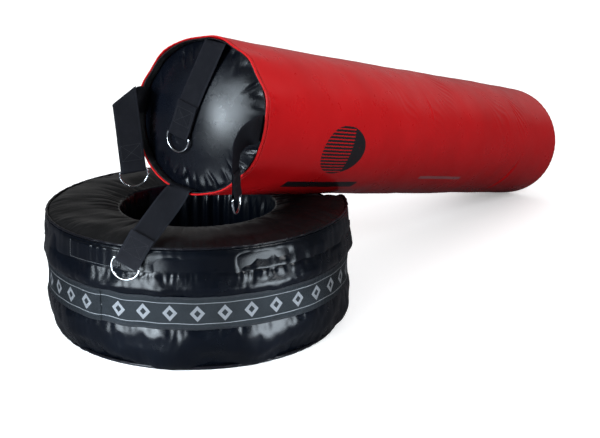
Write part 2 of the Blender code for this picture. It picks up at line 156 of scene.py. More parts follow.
def underside(x, y):
    """Height of the bag's underside over the floor."""
    ahead = (x - NOSE[0]) * SY + (y - NOSE[1]) * CY
    across = (x - NOSE[0]) * CY - (y - NOSE[1]) * SY
    inside = (np.abs(across) < BAG_R) & (ahead >= 0)
    height = NOSE[2] - ahead * SP / CP - np.sqrt(np.maximum(BAG_R ** 2 - across ** 2, 0)) / CP
    return np.where(inside, height, 9.0)


def pressed(points):
    """The ring gives way under the bag, most at its top and not at all low down."""
    gap, soft = 0.0020, 0.012
    over = RING_TOP + gap - underside(points[..., 0], points[..., 1])
    depth = 0.5 * (over + np.sqrt(over * over + soft ** 2))
    moved = points.copy()
    moved[..., 2] -= depth * smooth(points[..., 2], 0.110, 0.296)
    return moved


def dent_depth(points):
    """How far the bag would reach into an undented ring, over each point."""
    over = RING_TOP - underside(points[..., 0], points[..., 1])
    return np.maximum(over, 0.0)


# ---- meshes ----
def new_object(name, mesh):
    mesh.polygons.foreach_set("use_smooth", [True] * len(mesh.polygons))
    obj = bpy.data.objects.new(name, mesh)
    scene.collection.objects.link(obj)
    return obj


def surface(name, points, mats, wrap_cols=True, uv=None, row_mat=None, weld=False):
    """Quads over a grid of points, as a closed skin: the last row meets the first one, or with weld the first
    and last rows are each one point. uv is a grid of (u, v) in metres, and row_mat each row's material."""
    rows, cols = points.shape[:2]
    index = np.arange(rows * cols).reshape(rows, cols)
    here, down = (index[:-1], index[1:]) if weld else (index, np.roll(index, -1, axis=0))
    if wrap_cols:
        quads = np.stack([here, np.roll(here, -1, 1), np.roll(down, -1, 1), down], -1)
    else:
        quads = np.stack([here[:, :-1], here[:, 1:], down[:, 1:], down[:, :-1]], -1)
    faces = quads.reshape(-1, 4).tolist()
    if not wrap_cols:
        faces += [index[:, 0].tolist(), index[::-1, -1].tolist()]
    mesh = bpy.data.meshes.new(name)
    mesh.from_pydata((points.reshape(-1, 3) + RING_AT).tolist(), [], faces)
    if uv is not None:
        layer = mesh.uv_layers.new(name="UVMap")
        corner = np.zeros(len(mesh.loops), int)
        mesh.loops.foreach_get("vertex_index", corner)
        layer.data.foreach_set("uv", uv.reshape(-1, 2)[corner].astype(np.float32).ravel())
    for mat in mats if isinstance(mats, list) else [mats]:
        mesh.materials.append(mat)
    if row_mat is not None:
        picks = np.repeat(np.array(row_mat)[:quads.shape[0]], quads.shape[1])
        mesh.polygons.foreach_set("material_index", picks)
    bm = bmesh.new()
    bm.from_mesh(mesh)
    if weld:
        bmesh.ops.remove_doubles(bm, verts=bm.verts, dist=1e-6)
    bmesh.ops.recalc_face_normals(bm, faces=bm.faces)
    bm.to_mesh(mesh)
    bm.free()
    return new_object(name, mesh)


def polar(radius, angle, height):
    """Points round the ring's axis."""
    return np.stack(np.broadcast_arrays(radius * np.cos(angle), radius * np.sin(angle), height), -1)


def grid_round(line, angles):
    """Turns a line of (radius, height) round the ring's axis: rows down the line, columns round it."""
    line = np.array(line)
    return polar(line[:, 0, None], angles, line[:, 1, None])


def lengths_along(points):
    """How far each point lies along a line of points."""
    return np.concatenate([[0], np.cumsum(np.linalg.norm(np.diff(points, axis=0), axis=1))])


def bag_grid(radius, angle, depth):
    """Points by radius, angle from the bag's top (clockwise, facing the mouth) and depth behind the rim."""
    radius, angle, depth = np.broadcast_arrays(radius, angle, depth)
    out = SIDE * np.sin(angle)[..., None] + UP * np.cos(angle)[..., None]
    return NOSE + out * radius[..., None] + AXIS * depth[..., None]


def pairs(u, v):
    """A grid of (u, v)."""
    return np.stack(np.broadcast_arrays(u, v), -1)


def per_point(obj, what):
    values = np.zeros(len(obj.data.vertices) * 3)
    obj.data.vertices.foreach_get(what, values)
    return values.reshape(-1, 3)


def coords(obj):
    """The mesh's points, from the ring's centre."""
    return per_point(obj, "co") - RING_AT


def set_coords(obj, points):
    obj.data.vertices.foreach_set("co", (points + RING_AT).astype(np.float32).ravel())
    obj.data.update()


def push(obj, distance):
    """Moves each vertex along its normal."""
    set_coords(obj, coords(obj) + per_point(obj, "normal") * distance[:, None])


def denser(obj):
    """One subdivision, kept in the mesh."""
    step = obj.modifiers.new("subdivision", "SUBSURF")
    step.levels = step.render_levels = 1
    graph = bpy.context.evaluated_depsgraph_get()
    finer = bpy.data.meshes.new_from_object(obj.evaluated_get(graph))
    obj.modifiers.clear()
    obj.data = finer


def puff(obj, pinned, pressure, spread, most, frames=20):
    """Blows a skin out between its seams, and keeps each point within a distance of where it was."""
    before = coords(obj)
    group = obj.vertex_groups.new(name="seams")
    group.add(np.nonzero(pinned)[0].tolist(), 1.0, "REPLACE")
    cloth = obj.modifiers.new("cloth", "CLOTH")
    cloth.settings.quality = 4
    cloth.settings.mass = 0.3
    cloth.settings.bending_stiffness = 0.3
    cloth.settings.use_pressure = True
    cloth.settings.uniform_pressure_force = pressure
    cloth.settings.effector_weights.gravity = 0.0
    cloth.settings.shrink_min = -spread
    cloth.settings.vertex_group_mass = "seams"
    cloth.point_cache.frame_start, cloth.point_cache.frame_end = 1, frames
    for number in range(1, frames + 1):
        scene.frame_set(number)
    graph = bpy.context.evaluated_depsgraph_get()
    after = coords(obj.evaluated_get(graph))
    obj.modifiers.clear()
    obj.vertex_groups.clear()
    scene.frame_set(1)
    moved = after - before
    length = np.linalg.norm(moved, axis=1)
    share = most * np.tanh(length / most) / np.maximum(length, 1e-9)
    set_coords(obj, before + moved * share[:, None])


# ---- materials ----
class Paint:
    """A material and short ways to add its nodes. Inputs are values or other nodes' outputs."""

    def __init__(self, name, colour, rough, **sockets):
        self.mat = bpy.data.materials.new(name)
        self.mat.use_nodes = True
        self.tree = self.mat.node_tree
        self.shader = self.tree.nodes["Principled BSDF"]
        self.set("Base Color", (*colour, 1.0))
        self.set("Roughness", rough)
        for label, value in sockets.items():
            self.set(label.replace("_", " "), value)
        where = self.tree.nodes.new("ShaderNodeTexCoord")
        self.place, self.uv = where.outputs["Object"], where.outputs["UV"]
        self.height = None

    def set(self, label, value):
        self.plug(self.shader.inputs[label], value)

    def plug(self, socket, value):
        if isinstance(value, bpy.types.NodeSocket):
            self.tree.links.new(value, socket)
        else:
            socket.default_value = value

    def add(self, kind, inputs, **settings):
        made = self.tree.nodes.new("ShaderNode" + kind)
        for key, value in settings.items():
            setattr(made, key, value)
        for label, value in inputs.items():
            self.plug(made.inputs[label], value)
        return made

    def noise(self, scale, detail=2.0, rough=0.5):
        return self.add("TexNoise", {"Vector": self.place, "Scale": scale, "Detail": detail,
                                     "Roughness": rough}).outputs["Fac"]

    def cells(self, scale):
        return self.add("TexVoronoi", {"Vector": self.place, "Scale": scale}).outputs["Distance"]

    def math(self, op, a, b=0.0):
        return self.add("Math", {0: a, 1: b}, operation=op).outputs[0]

    def times(self, a, b):
        return self.math("MULTIPLY", a, b)

    def away(self, value, centre):
        return self.math("ABSOLUTE", self.math("SUBTRACT", value, centre))

    def wave(self, value, pitch):
        return self.math("SINE", self.times(value, 2 * pi / pitch))

    def span(self, value, a, b, low=0.0, high=1.0):
        """Maps a..b onto low..high, held at the ends."""
        return self.add("MapRange", {"Value": value, "From Min": a, "From Max": b, "To Min": low,
                                     "To Max": high}).outputs["Result"]

    def patch(self, around, along, place, size, end=0.0015):
        """1 inside a box of the UV plane, by its centre and half sizes, with soft edges."""
        return self.times(self.span(self.away(around, place[0]), size[0], size[0] + 0.0010, 1.0, 0.0),
                          self.span(self.away(along, place[1]), size[1], size[1] + end, 1.0, 0.0))

    def mix(self, factor, a, b):
        made = self.add("Mix", {}, data_type="RGBA")
        colours = [s for s in made.inputs if s.type == "RGBA"]
        self.plug(made.inputs[0], factor)
        for socket, value in zip(colours, (a, b)):
            self.plug(socket, value if isinstance(value, bpy.types.NodeSocket) else (*value, 1.0))
        return [s for s in made.outputs if s.type == "RGBA"][0]

    def split_uv(self):
        made = self.add("SeparateXYZ", {"Vector": self.uv})
        return made.outputs[0], made.outputs[1]

    def relief(self, height, distance):
        """Adds a layer of bump, in metres."""
        made = self.add("Bump", {"Height": height, "Distance": distance, "Strength": 1.0})
        if self.height is not None:
            self.tree.links.new(self.height, made.inputs["Normal"])
        self.height = made.outputs["Normal"]
        self.set("Normal", self.height)


def vinyl(name, colour, rough, spread=0.06, tint=0.25, grain=0.00010, crumple=0.0009, scuff=0.05, shine=0.5):
    """Coated vinyl: fine leather grain, soft crumples, smudged gloss and pale rubbed specks."""
    p = Paint(name, colour, rough, Specular_IOR_Level=shine)
    dark = tuple(c * (1 - tint) for c in colour)
    light = tuple(min(1.0, c * (1 + tint)) for c in colour)
    toned = p.mix(p.span(p.noise(7.0, 4.0, 0.6), 0.35, 0.65), dark, light)
    rubbed = p.span(p.noise(46.0, 8.0, 0.75), 0.66, 0.78, 0.0, scuff)
    pale = tuple(0.25 + 0.6 * c for c in colour)
    p.set("Base Color", p.mix(rubbed, toned, pale))
    p.set("Roughness", p.span(p.noise(16.0, 5.0, 0.65), 0.3, 0.7, rough - spread, rough + spread))
    p.relief(p.noise(24.0, 3.0, 0.5), crumple)
    p.relief(p.cells(900), grain)
    return p.mat


def thread(name, dark, light, rough=0.6, shine=0.5):
    """Twisted sewing thread, mottled between two colours."""
    p = Paint(name, light, rough, Specular_IOR_Level=shine)
    p.relief(p.noise(2500.0), 0.0001)
    p.set("Base Color", p.mix(p.noise(900.0), dark, light))
    return p.mat


def make_materials():
    smooth_face = {"spread": 0.04, "crumple": 0.00025, "scuff": 0.01}
    return {
        "gloss": vinyl("ring_gloss", (0.0008, 0.0016, 0.0034), 0.25, **smooth_face, shine=0.30),
        "matt": vinyl("ring_matt", (0.0042, 0.0042, 0.0046), 0.42, grain=0.00014, crumple=0.0005, scuff=0.02,
                      shine=0.22),
        "base": vinyl("ring_base", (0.016, 0.016, 0.017), 0.60, grain=0.00025, scuff=0.25),
        "piping": vinyl("ring_cord", (0.005, 0.005, 0.007), 0.30, crumple=0.0003, shine=0.25),
        "cap": vinyl("cap_gloss", (0.0022, 0.0030, 0.0056), 0.27, **smooth_face, shine=0.32),
        "facing": vinyl("facing", (0.012, 0.012, 0.014), 0.45, crumple=0.0004, shine=0.25),
        "hem": vinyl("hem_red", (0.50, 0.008, 0.010), 0.33, tint=0.12, crumple=0.0003, shine=0.2),
        "foot": vinyl("foot_red", (0.40, 0.008, 0.010), 0.38, tint=0.15),
        "red": red_vinyl(),
        "tape": woven_tape(),
        "web": webbing_weave(),
        "steel": steel(),
        "thread": thread("thread_dark", (0.012, 0.012, 0.016), (0.035, 0.035, 0.040), shine=0.3),
        "pale_thread": thread("thread_grey", (0.05, 0.055, 0.06), (0.14, 0.15, 0.16), rough=0.5),
        "red_thread": thread("thread_red", (0.35, 0.02, 0.02), (0.6, 0.06, 0.06)),
    }


def red_vinyl():
    """The sleeve, with a plain black printed mark and a thin grey line. UV is round and along, in metres."""
    p = Paint("sleeve_red", (0.50, 0.006, 0.009), 0.30, Specular_IOR_Level=0.14)
    toned = p.mix(p.span(p.noise(5.0, 4.0, 0.6), 0.35, 0.65), (0.42, 0.0040, 0.006), (0.48, 0.0055, 0.008))
    rubbed = p.span(p.noise(40.0, 8.0, 0.75), 0.70, 0.82, 0.0, 0.03)
    toned = p.mix(rubbed, toned, (0.60, 0.12, 0.12))
    around, along = p.split_uv()
    disc_at, disc_r, flatten, stripe_pitch, solid_from = (0.325, 0.37), 0.062, 0.62, 0.0085, 0.405
    across = p.math("SUBTRACT", around, disc_at[0])
    ahead = p.times(p.math("SUBTRACT", along, disc_at[1]), flatten)
    disc = p.math("SQRT", p.math("ADD", p.math("POWER", across, 2.0), p.math("POWER", ahead, 2.0)))
    stripe = p.span(p.math("FRACT", p.times(around, 1 / stripe_pitch)), 0.62, 0.68, 1.0, 0.0)
    striped = p.math("MAXIMUM", stripe, p.span(along, solid_from, solid_from + 0.002))
    mark = p.times(p.span(disc, disc_r, disc_r + 0.0015, 1.0, 0.0), striped)
    bar = p.patch(around, along, (0.432, 0.38), (0.0120, 0.170))
    line = p.patch(around, along, (0.399, 1.01), (0.0050, 0.135), end=0.0010)
    worn = p.span(p.noise(160.0, 7.0, 0.7), 0.26, 0.36)
    toned = p.mix(p.times(p.math("MAXIMUM", mark, bar), worn), toned, (0.012, 0.010, 0.012))
    p.set("Base Color", p.mix(p.times(line, 0.7), toned, (0.24, 0.13, 0.14)))
    p.set("Roughness", p.span(p.noise(14.0, 5.0, 0.65), 0.3, 0.7, 0.25, 0.36))
    p.relief(p.noise(11.0, 2.0, 0.45), 0.0004)
    p.relief(p.cells(850), 0.00006)
    return p.mat


def woven_tape():
    """Polyester belt tape: fine ribs, darker selvedges and a plain repeating lozenge woven in silver."""
    p = Paint("tape_weave", (0.045, 0.052, 0.062), 0.62, Specular_IOR_Level=0.25)
    u, v = p.split_uv()
    repeat, half_wide, half_high = 0.062, 0.0170, 0.0190
    weave = p.times(p.wave(u, 0.0016), p.wave(v, 0.0011))
    ground = p.mix(p.span(p.noise(30.0, 4.0), 0.3, 0.7), (0.0050, 0.0075, 0.0100), (0.0090, 0.0122, 0.0158))
    away = p.away(v, (TAPE_LOW + TAPE_HIGH) / 2)
    cell = p.away(p.math("FRACT", p.times(u, 1 / repeat)), 0.5)
    across = p.math("ADD", p.times(cell, repeat / half_wide), p.times(away, 1 / half_high))
    lozenge = p.times(p.math("LESS_THAN", across, 1.0), p.math("GREATER_THAN", across, 0.45))
    rule = p.times(p.math("GREATER_THAN", away, 0.0235), p.math("LESS_THAN", away, 0.0250))
    silver = p.mix(p.span(weave, -1, 1), (0.14, 0.15, 0.16), (0.30, 0.31, 0.33))
    ground = p.mix(p.math("GREATER_THAN", away, 0.0350), ground, (0.014, 0.016, 0.020))
    p.set("Base Color", p.mix(p.times(p.math("MAXIMUM", lozenge, rule), 0.75), ground, silver))
    p.relief(weave, 0.00022)
    return p.mat


def webbing_weave():
    """Nylon webbing: twill ribs along it, a firmer band by each edge."""
    p = Paint("web_weave", (0.004, 0.0045, 0.007), 0.60, Specular_IOR_Level=0.15)
    u, v = p.split_uv()
    twill = p.wave(p.math("ADD", u, p.times(v, 0.8)), 0.0030)
    weave = p.math("ADD", p.times(twill, 0.7), p.times(p.wave(v, 0.0014), 0.5))
    edge = p.math("GREATER_THAN", p.math("ABSOLUTE", u), WEB / 2 - 0.0045)
    worn = p.span(p.noise(60.0, 6.0, 0.7), 0.5, 0.75, 0.0, 0.5)
    tone = p.mix(p.span(weave, -1.2, 1.2), (0.0012, 0.0015, 0.0030), (0.0075, 0.0080, 0.0125))
    tone = p.mix(p.times(edge, 0.5), tone, (0.010, 0.011, 0.016))
    p.set("Base Color", p.mix(worn, tone, (0.014, 0.014, 0.018)))
    p.relief(weave, 0.00030)
    return p.mat


def steel():
    """Chromed wire, a little dulled."""
    p = Paint("dee_steel", (0.45, 0.46, 0.48), 0.22, Metallic=1.0)
    p.set("Roughness", p.span(p.noise(120.0, 5.0, 0.7), 0.3, 0.7, 0.12, 0.28))
    p.set("Base Color", p.mix(p.span(p.noise(60.0, 6.0), 0.55, 0.75), (0.46, 0.47, 0.49), (0.30, 0.30, 0.30)))
    p.relief(p.noise(700.0, 3.0), 0.00003)
    return p.mat


MATS = make_materials()


def ride_as(obj, body, nodes):
    """Puts a piece on the body it rides on, and hides the CAD nodes it stands for."""
    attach(obj, body)
    if nodes:
        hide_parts(*nodes)


# ---- the ring ----
def build_ring_cushion():
    """Top panel, outer side and hole skin of the stuffed ring, drawn in at the seams."""
    step, cols = 0.0085, 300
    floor = along_line([(0.3430, 0.0026), (0.1965, 0.0026)], 0.018)
    parts = [along_line(CROWN, step), along_line(WALL, step), floor, along_line(LINING[::-1], step)]
    top, side, under, _ = range(4)
    profile = np.vstack(parts)
    kinds = np.repeat(range(4), [len(part) for part in parts])
    points = pressed(grid_round(profile, np.arange(cols) * 2 * pi / cols))
    row_mat = (kinds == top).astype(int)
    row_mat[len(parts[top]) - 1] = 0
    cushion = surface("ring_cushion", points, [MATS["gloss"], MATS["matt"]], row_mat=row_mat)
    height, kind = np.repeat(profile[:, 1], cols), np.repeat(kinds, cols)
    change = kinds[1:] != kinds[:-1]
    seams = np.append(change, True) | np.append(True, change)
    at_hem = height > HEM_Z - 0.002
    at_tape = (height > TAPE_LOW - 0.001) & (height < TAPE_HIGH + 0.001)
    dented = (dent_depth(points.reshape(-1, 3)) > 0.0005) & (height > 0.19)
    pinned = np.repeat(seams, cols) | (kind == under) | ((kind == side) & (at_hem | at_tape)) | dented
    puff(cushion, pinned, pressure=4.0, spread=0.03, most=0.007)
    denser(cushion)
    gather_ring(cushion)
    nodes = ["ring_filling", "ring_top_panel", "ring_wall", "ring_hole_lining"]
    ride_as(cushion, "ring", nodes)


def gather_ring(cushion):
    """Pleats under the collar's hem, puckers at the tape and the bottom seam, and wrinkles round the hole."""
    p = coords(cushion)
    angle = np.arctan2(p[:, 1], p[:, 0])
    r, z = np.hypot(p[:, 0], p[:, 1]), p[:, 2]
    side = smooth(r, 0.330, 0.345) * (1 - smooth(z, 0.275, 0.285))
    dented = 1 - smooth(dent_depth(p), 0.0, 0.012)
    leaning = angle + 0.25 * (z - 0.215) * ripple(angle, 7, 15, 3)
    pleats = np.abs(ripple(leaning, 50, 120, 3)) ** 0.8 * 0.6 + ripple(leaning, 26, 60, 4) * 0.4
    under_hem = smooth(z, 0.212, 0.240) * (1 - smooth(z, 0.238, 0.2425))
    drawn = 0.25 + 1.4 * (bump(angle, radians(-63), 0.20) + bump(angle, radians(-95), 0.13)
                          + bump(angle, radians(120), 0.3) + bump(angle, radians(10), 0.2))
    push_out = 0.0030 * pleats * under_hem * drawn
    puckers = ripple(angle, 34, 78, 6)
    push_out += 0.0006 * puckers * (bump(z, TAPE_HIGH + 0.006, 0.009) + bump(z, TAPE_LOW - 0.006, 0.010))
    push_out += 0.0010 * ripple(angle, 28, 60, 8) * (1 - smooth(z, 0.012, 0.050))
    push_out += 0.0034 * ripple(angle, 5, 13, 10, 6) * (1 - smooth(z, 0.015, 0.085))
    push_out += 0.0042 * bump(z, 0.204, 0.012) - 0.0045 * bump(z, 0.070, 0.045)
    push_out += 0.0024 * lumps(p, 0.11, 9) * smooth(z, 0.0, 0.03) * (1 - bump(z, 0.148, 0.045))
    push_out *= side * dented
    push_out = np.where((z > TAPE_LOW - 0.001) & (z < TAPE_HIGH + 0.001), np.minimum(push_out, 0), push_out)
    on_hole = (1 - smooth(r, 0.1935, 0.2)) * dented
    push_out += on_hole * (0.0022 * ripple(angle, 16, 44, 11) * smooth(z, 0.0, 0.08) * smooth(z, 0.297, 0.24))
    on_top = smooth(z, 0.288, 0.296) * smooth(r, 0.19, 0.20) * dented
    fan = np.abs(ripple(angle, 18, 34, 12))
    push_out -= on_top * 0.0034 * (1 - fan).clip(0) * bump(r, 0.200, 0.060)
    push_out += on_top * 0.0011 * lumps(p, 0.09, 13)
    push_out -= on_top * 0.0016 * (1 - np.abs(ripple(angle, 24, 50, 14))).clip(0) * bump(r, 0.350, 0.026)
    push(cushion, push_out)


def ring_band(name, profile, mat, push_line, angles, hang=None):
    """A thin band round the ring: outer line then inner line, moved outwards by push_line(angle, height)."""
    points = grid_round(profile, angles)
    height = np.array(profile)[:, 1, None]
    out = polar(1.0, angles, 0.0)
    points = points + out * push_line(angles, height)[..., None]
    if hang is not None:
        points[..., 2] += hang(angles, height)
    return surface(name, pressed(points), mat)


def build_ring_trim():
    """The collar with its pinched places, and the welts."""
    full = np.arange(540) * 2 * pi / 540
    upper = along_line(WALL[:3], 0.004)
    outer, inner = offset(upper, -0.0025), offset(upper, -0.0004)
    edge = [(outer[-1][0] - 0.0004, HEM_Z - 0.0012), (inner[-1][0], HEM_Z - 0.0010)]
    collar = np.vstack([outer, edge, inner[::-1]])

    def wave(angle, z):
        low = smooth(z, 0.285, HEM_Z)
        around = (angle + pi) % (2 * pi) - pi
        facets = 0.0020 * (lumps(polar(0.37, angle, z), 0.10, 24) - 0.6) * bump(z, 0.262, 0.022)
        dimples, rays = 0.0, 0.0
        for at, depth in COLLAR_PINCHES:
            aside = around - radians(at)
            dimples = dimples + depth * bump(aside, 0, 0.030) * bump(z, 0.268, 0.011)
            rays = rays + 0.0022 * np.cos(aside * 75) * bump(aside, 0, 0.085) * bump(z, 0.262, 0.018)
        return (low * 0.0008 * (0.8 + ripple(angle, 26, 60, 21)) + 0.0002 * ripple(angle, 60, 120, 22)
                + facets - dimples + rays)

    def sag(angle, z):
        return -smooth(z, 0.275, HEM_Z) * 0.0012 * ripple(angle, 14, 40, 23)

    band = ring_band("ring_collar_skin", collar, MATS["gloss"], wave, full, hang=sag)
    ride_as(band, "ring", ["ring_collar"])

    for name, node, radius, height, seed in (
            ("ring_top_piping", "ring_top_welt", 0.3668, 0.2984, 31),
            ("ring_bottom_piping", "ring_bottom_welt", 0.3460, 0.0064, 32)):
        turn = np.arange(10) * 2 * pi / 10
        cord = np.stack([radius + 0.0030 * np.cos(turn), height + 0.0030 * np.sin(turn)], 1)
        piping = ring_band(name, cord, MATS["piping"],
                           lambda angle, z: 0.0005 * ripple(angle, 40, 90, seed) + 0 * z, full)
        ride_as(piping, "ring", [node])
    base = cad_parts["ring_base_panel"]
    base.data.materials.clear()
    base.data.materials.append(MATS["base"])


def build_tape():
    """The belt tape, with its end lapped over its start, and its stitches."""
    lap_turn, rows = radians(7.5), 13
    angles = radians(TAPE_START) + np.linspace(0, 2 * pi + lap_turn, 560)
    heights = np.linspace(TAPE_HIGH, TAPE_LOW, rows)
    waist = np.array(sorted([(z, r) for r, z in WALL if 0.10 < z < 0.20]))
    lap = 0.0024 * (1 - smooth(angles[-1] - angles, lap_turn, radians(13)))
    frill = 0.0007 * np.abs(ripple(angles, 50, 110, 41)) * np.linspace(-1, 1, rows)[:, None] ** 2
    base = np.interp(heights, *waist.T)[:, None] + lap + frill
    outer = base + 0.0023
    outer[[0, -1]] -= 0.0006
    level = np.concatenate([heights, heights[::-1]])[:, None]
    sway = 0.0006 * ripple(angles, 8, 30, 42)
    points = polar(np.vstack([outer, base[::-1] + 0.0004]), angles, level + sway)
    uv = pairs(angles * 0.37, level)
    tape = surface("ring_tape_woven", pressed(points), MATS["tape"], wrap_cols=False, uv=uv)
    ride_as(tape, "ring", ["ring_belt_tape"])
    turn = np.linspace(0, 2 * pi, 900)[:-1]
    lines = [pressed(polar(np.interp(height, *waist.T) + 0.0024, turn, height))
             for height in (TAPE_HIGH - 0.0045, TAPE_LOW + 0.0045)]
    threads = stitches("ring_tape_stitches", lines, 0.0042, 0.00042, MATS["thread"], closed=True)
    ride_as(threads, "ring", [])


def build_flap():
    """The sewn patch on the collar, a little puckered, with a raised edge."""
    angles = np.radians(np.linspace(FLAP_FROM, FLAP_TO, 70))
    line = along_line(WALL[:3], 0.003)
    line = line[(line[:, 1] < 0.2902) & (line[:, 1] > 0.2475)]
    across = np.linspace(-1, 1, len(angles))
    down = np.abs(np.linspace(-1, 1, len(line)))[:, None]
    r = offset(line, -0.0058)[:, 0, None] - 0.0006 * across ** 10 + 0.0004 * ripple(angles, 60, 140, 51)
    r = r + 0.0008 * bump(down, 0.82, 0.10) - 0.0004 * down ** 8
    inner = offset(line, -0.0042)[:, 0, None] + 0 * angles
    z = line[:, 1, None] + 0.0008 * ripple(angles, 12, 30, 52)
    points = polar(np.vstack([r, inner[::-1]]), angles, np.vstack([z, z[::-1]]))
    flap = surface("ring_flap", points, MATS["gloss"], wrap_cols=False)
    ride_as(flap, "ring", ["ring_closure_flap"])
    top, bottom, start, end = 0.2885, 0.2495, radians(FLAP_FROM + 0.9), radians(FLAP_TO - 0.9)
    corners = [(start, top), (start, bottom), (end, bottom), (end, top)]
    lines = []
    for (a0, z0), (a1, z1) in zip(corners, corners[1:]):
        t = np.linspace(0, 1, 60)
        height = z0 + (z1 - z0) * t
        r = np.interp(height, line[::-1, 1], offset(line, -0.0066)[::-1, 0])
        lines.append(polar(r, a0 + (a1 - a0) * t, height))
    seam = stitches("ring_flap_stitches", lines, 0.0044, 0.00055, MATS["pale_thread"])
    ride_as(seam, "ring", [])


# ---- threads ----
def stitches(name, lines, pitch, radius, mat, closed=False):
    """Sewing thread: short rounded bars end to end along each line of points."""
    verts, faces = [], []
    sides = 5
    ring = [(cos(a), sin(a)) for a in np.arange(sides) * 2 * pi / sides]
    along_bar, thickness = np.array([0.14, 0.26, 0.74, 0.86]), (0.35, 1.0, 1.0, 0.35)
    for line in lines:
        line = np.array(line)
        if closed:
            line = np.vstack([line, line[:1]])
        far = lengths_along(line)
        count = max(1, int(far[-1] / pitch))
        for k in range(count):
            spans = (k + along_bar) * far[-1] / count
            mid = np.stack([np.interp(spans, far, line[:, i]) for i in range(3)], 1)
            way = unit(mid[-1] - mid[0])
            first = unit(np.cross(way, [0.3, 0.2, 0.93]))
            second = np.cross(way, first)
            outs = [first * c + second * s for c, s in ring]
            base = len(verts)
            for centre, share in zip(mid, thickness):
                verts += [tuple(centre + RING_AT + radius * share * out) for out in outs]
            for i in range(3):
                for j in range(sides):
                    a, b = base + i * sides + j, base + i * sides + (j + 1) % sides
                    faces.append((a, b, b + sides, a + sides))
            faces += [tuple(range(base + 4, base - 1, -1)), tuple(range(base + 15, base + 20))]
    mesh = bpy.data.meshes.new(name)
    mesh.from_pydata(verts, [], faces)
    mesh.materials.append(mat)
    return new_object(name, mesh)


# ---- the bag ----
def bag_wave(angle, depth):
    """Corners near the mouth, and slack, wrinkles, a crease and a fold further down."""
    angle = (angle + pi) % (2 * pi) - pi
    place = bag_grid(BAG_R, angle, depth)
    near = 1 - smooth(depth, 0.02, 0.18)
    corners = ripple(angle, 6, 13, 61, 6) * 0.0014 * near
    slack = lumps(place, 0.34, 62) * 0.0013 * smooth(depth, 0.05, 0.4)
    small = lumps(place, 0.09, 63) * 0.00018 * smooth(depth, 0.03, 0.3)
    gathers = ripple(angle, 30, 70, 64) * 0.00010 * (1 - smooth(depth, 0.0, 0.05))
    gathers = gathers + ripple(angle, 40, 90, 65) * 0.00025 * smooth(depth, 1.745, 1.790)
    upper = bump(angle, radians(50), radians(32)) + 0.5 * bump(angle, radians(-40), radians(30))
    reach = smooth(depth, 0.50, 0.75) * (1 - smooth(depth, 1.50, 1.72))
    slant = np.sin((depth * 0.80 - angle * BAG_R * 0.6) * 2 * pi / 0.040 + 1.8 * lumps(place, 0.13, 66))
    wrinkles = 0.0011 * upper * reach * np.abs(slant) * (0.6 + 0.4 * lumps(place, 0.2, 67))
    crease = 0.0020 * bump(depth, CREASE_AT, 0.0040) * bump(angle, radians(68), 0.11)
    fold = bump(depth, FOLD_AT - 0.034 * (angle - radians(130)), 0.0075) * bump(angle, radians(130), 0.27)
    nicks = bump(depth, 0.035, 0.008) * (bump(angle, radians(72), 0.030) + bump(angle, radians(80), 0.030))
    return corners + slack + small + gathers - wrinkles + crease - 0.0075 * fold - 0.0016 * nicks


def clear_of_ring(angle, depth):
    """0 where the sleeve presses on the ring or the floor, 1 elsewhere."""
    below = 1 - smooth(np.cos(angle), -0.95, -0.55)
    near_ring = smooth(depth, 0.06, 0.12) * (1 - smooth(depth, 0.80, 0.95))
    at_floor = smooth(depth, 1.66, 1.74)
    return 1 - below * np.maximum(near_ring, at_floor)


def sleeve_radius(angle, depth):
    """How far the sleeve stands off a true cylinder, never outwards where something touches it."""
    wave = bag_wave(angle, depth)
    keep = clear_of_ring(angle, depth)
    return wave * keep + np.minimum(wave, 0.0) * (1 - keep)


def build_sleeve():
    """The stuffed sleeve as one closed form, from behind the cap out over the mouth's edge to the foot."""
    inside = [(0.0, 0.0320), (0.06, 0.0320), (0.12, 0.0320), (0.1705, 0.0325), (0.1718, 0.0290),
              (0.1718, 0.0120)]
    coarse, fine = 0.0078, 0.0020
    spans = ((0.0106, 0.0700, 0.0036), (0.0720, 0.833, coarse), (0.8375, 0.861, fine),
             (0.866, 1.453, coarse), (1.457, 1.506, 0.0030), (1.510, 1.779, coarse))
    run = [(BAG_R, z) for span in spans for z in np.arange(*span)]
    heel = [(BAG_R - FOOT_ROUND * (1 - cos(a)), BAG_LENGTH - FOOT_ROUND * (1 - sin(a)))
            for a in np.radians(np.arange(0, 70, 9.0))]
    foot = [(0.1585, 1.7962), (0.10, 1.7962), (0.05, 1.7962), (0.0, 1.7962)]
    profile = np.array(inside + run + heel + foot)
    r, depth = profile[:, :1], profile[:, 1:]
    on_skin = np.repeat([0.0, 1.0, 0.0], [len(inside), len(run) + len(heel), len(foot)])[:, None]
    points = bag_grid(r + sleeve_radius(BAG_ANGLES, depth) * on_skin, BAG_ANGLES, depth)
    wrapped = np.where(BAG_ANGLES > pi, BAG_ANGLES - 2 * pi, BAG_ANGLES)
    uv = pairs(wrapped * BAG_R, depth)
    body = surface("bag_body", points, MATS["red"], uv=uv, weld=True)
    ride_as(body, "bag", ["bag_sleeve", "bag_filling"])
    disc = np.array([(0.0, 1.7966), (0.10, 1.7966), (0.1560, 1.7966), (0.1578, 1.7975), (0.1570, 1.7990),
                     (0.1535, 1.7998), (0.10, 1.7998), (0.05, 1.7997), (0.0, 1.7997)])
    r, depth = disc[:, :1], disc[:, 1:]
    rim = ripple(BAG_ANGLES, 40, 90, 65) * 0.0004 * smooth(r, 0.12, 0.157)
    foot = surface("bag_foot", bag_grid(r + rim, BAG_ANGLES, depth), MATS["foot"], weld=True)
    ride_as(foot, "bag", ["bag_foot_panel"])


